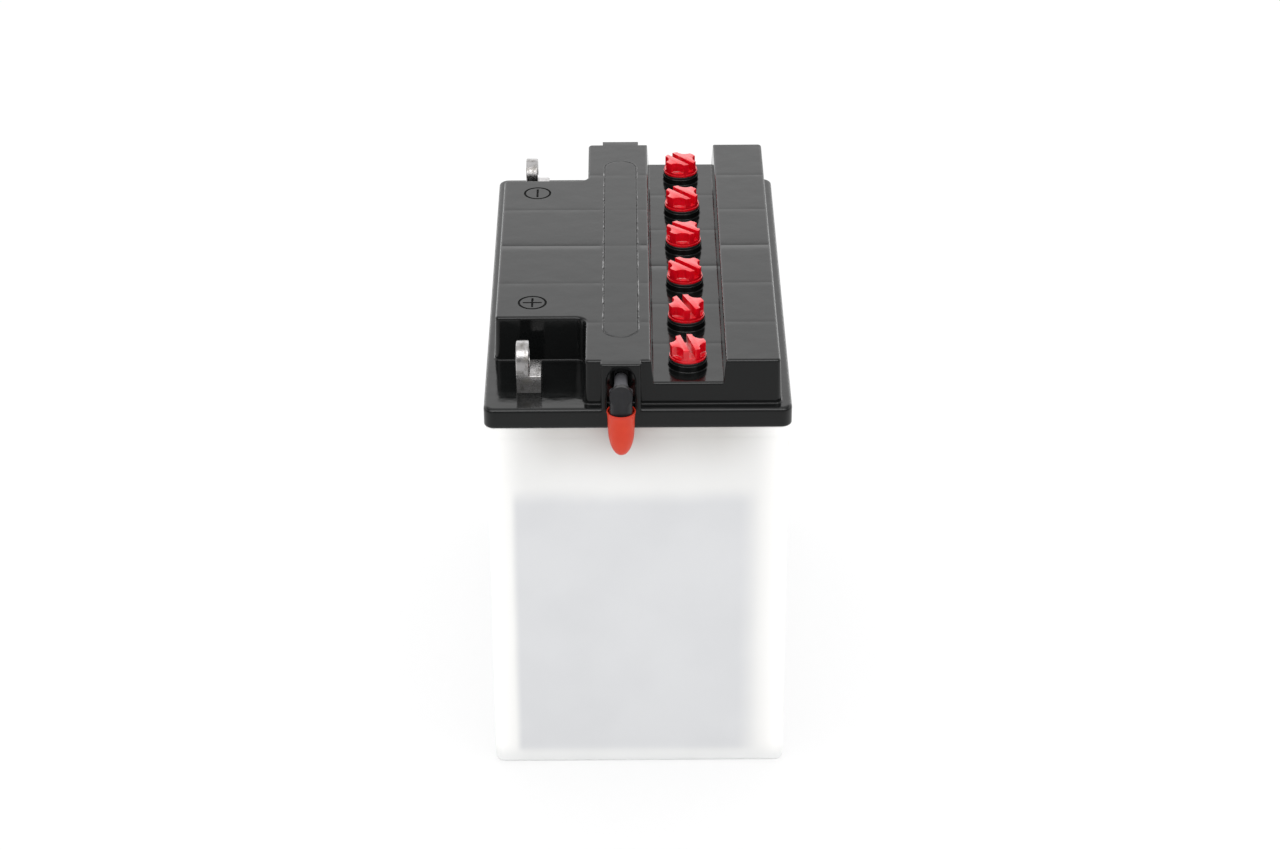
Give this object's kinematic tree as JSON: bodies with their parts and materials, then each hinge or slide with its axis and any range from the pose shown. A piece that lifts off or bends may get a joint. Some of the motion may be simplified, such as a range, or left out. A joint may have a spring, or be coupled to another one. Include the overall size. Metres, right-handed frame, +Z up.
{
  "type": "motorcycle battery",
  "caption": "Flooded motorcycle battery: translucent case, black ridged lid, red screw vent plugs in a channel, bolt-on flag terminals and a capped vent elbow.",
  "frame": {"origin": "centre of the flat underside of the case", "axes": "+Z up; Y along the long side, with the vented end and the positive terminal at -Y; X across, with both terminals on the -X side"},
  "size_m": [0.1, 0.1846, 0.155],
  "materials": {
    "case_polypropylene": "satin",
    "lid_polypropylene": "satin",
    "elbow_plastic": "satin",
    "plug_plastic": "gloss",
    "seal_rubber": "matte",
    "cap_rubber": "matte",
    "terminal_lead": "satin",
    "strap_lead": "matte",
    "positive_plate": "matte",
    "negative_plate": "matte",
    "separator": "matte"
  },
  "bodies": {
    "housing": {"case": "case_polypropylene", "lid": "lid_polypropylene", "gallery_cover": "lid_polypropylene", "vent_elbow": "elbow_plastic", "terminal_positive": "terminal_lead", "terminal_negative": "terminal_lead", "partition_welds": "strap_lead", "positive_plates_1": "positive_plate", "negative_plates_1": "negative_plate", "separators_1": "separator", "positive_strap_1": "strap_lead", "negative_strap_1": "strap_lead", "positive_plates_2": "positive_plate", "negative_plates_2": "negative_plate", "separators_2": "separator", "positive_strap_2": "strap_lead", "negative_strap_2": "strap_lead", "positive_plates_3": "positive_plate", "negative_plates_3": "negative_plate", "separators_3": "separator", "positive_strap_3": "strap_lead", "negative_strap_3": "strap_lead", "positive_plates_4": "positive_plate", "negative_plates_4": "negative_plate", "separators_4": "separator", "positive_strap_4": "strap_lead", "negative_strap_4": "strap_lead", "positive_plates_5": "positive_plate", "negative_plates_5": "negative_plate", "separators_5": "separator", "positive_strap_5": "strap_lead", "negative_strap_5": "strap_lead", "positive_plates_6": "positive_plate", "negative_plates_6": "negative_plate", "separators_6": "separator", "positive_strap_6": "strap_lead", "negative_strap_6": "strap_lead"},
    "seal_1": {"plug_seal_1": "seal_rubber"},
    "plug_1": {"vent_plug_1": "plug_plastic"},
    "seal_2": {"plug_seal_2": "seal_rubber"},
    "plug_2": {"vent_plug_2": "plug_plastic"},
    "seal_3": {"plug_seal_3": "seal_rubber"},
    "plug_3": {"vent_plug_3": "plug_plastic"},
    "seal_4": {"plug_seal_4": "seal_rubber"},
    "plug_4": {"vent_plug_4": "plug_plastic"},
    "seal_5": {"plug_seal_5": "seal_rubber"},
    "plug_5": {"vent_plug_5": "plug_plastic"},
    "seal_6": {"plug_seal_6": "seal_rubber"},
    "plug_6": {"vent_plug_6": "plug_plastic"},
    "vent_cap": {"vent_cap": "cap_rubber"}
  },
  "joints": [
    {"name": "plug_1_lift", "type": "slide", "parent": "housing", "child": "seal_1", "axis": [0, 0, 1], "range_m": [0, 0.0075]},
    {"name": "plug_1_turn", "type": "hinge", "parent": "seal_1", "child": "plug_1", "pos_m": [0.0164, -0.07096, 0.15], "axis": [0, 0, 1], "range_deg": [0, 900]},
    {"name": "plug_2_lift", "type": "slide", "parent": "housing", "child": "seal_2", "axis": [0, 0, 1], "range_m": [0, 0.0075]},
    {"name": "plug_2_turn", "type": "hinge", "parent": "seal_2", "child": "plug_2", "pos_m": [0.0164, -0.04258, 0.15], "axis": [0, 0, 1], "range_deg": [0, 900]},
    {"name": "plug_3_lift", "type": "slide", "parent": "housing", "child": "seal_3", "axis": [0, 0, 1], "range_m": [0, 0.0075]},
    {"name": "plug_3_turn", "type": "hinge", "parent": "seal_3", "child": "plug_3", "pos_m": [0.0164, -0.01419, 0.15], "axis": [0, 0, 1], "range_deg": [0, 900]},
    {"name": "plug_4_lift", "type": "slide", "parent": "housing", "child": "seal_4", "axis": [0, 0, 1], "range_m": [0, 0.0075]},
    {"name": "plug_4_turn", "type": "hinge", "parent": "seal_4", "child": "plug_4", "pos_m": [0.0164, 0.01419, 0.15], "axis": [0, 0, 1], "range_deg": [0, 900]},
    {"name": "plug_5_lift", "type": "slide", "parent": "housing", "child": "seal_5", "axis": [0, 0, 1], "range_m": [0, 0.0075]},
    {"name": "plug_5_turn", "type": "hinge", "parent": "seal_5", "child": "plug_5", "pos_m": [0.0164, 0.04258, 0.15], "axis": [0, 0, 1], "range_deg": [0, 900]},
    {"name": "plug_6_lift", "type": "slide", "parent": "housing", "child": "seal_6", "axis": [0, 0, 1], "range_m": [0, 0.0075]},
    {"name": "plug_6_turn", "type": "hinge", "parent": "seal_6", "child": "plug_6", "pos_m": [0.0164, 0.07096, 0.15], "axis": [0, 0, 1], "range_deg": [0, 900]},
    {"name": "vent_cap_pull", "type": "slide", "parent": "housing", "child": "vent_cap", "axis": [0, 0, -1], "range_m": [0, 0.015]}
  ],
  "couplings": [
    {"joint": "plug_1_turn", "follows": "plug_1_lift", "rad_per_m": 2094.4},
    {"joint": "plug_2_turn", "follows": "plug_2_lift", "rad_per_m": 2094.4},
    {"joint": "plug_3_turn", "follows": "plug_3_lift", "rad_per_m": 2094.4},
    {"joint": "plug_4_turn", "follows": "plug_4_lift", "rad_per_m": 2094.4},
    {"joint": "plug_5_turn", "follows": "plug_5_lift", "rad_per_m": 2094.4},
    {"joint": "plug_6_turn", "follows": "plug_6_lift", "rad_per_m": 2094.4}
  ]
}
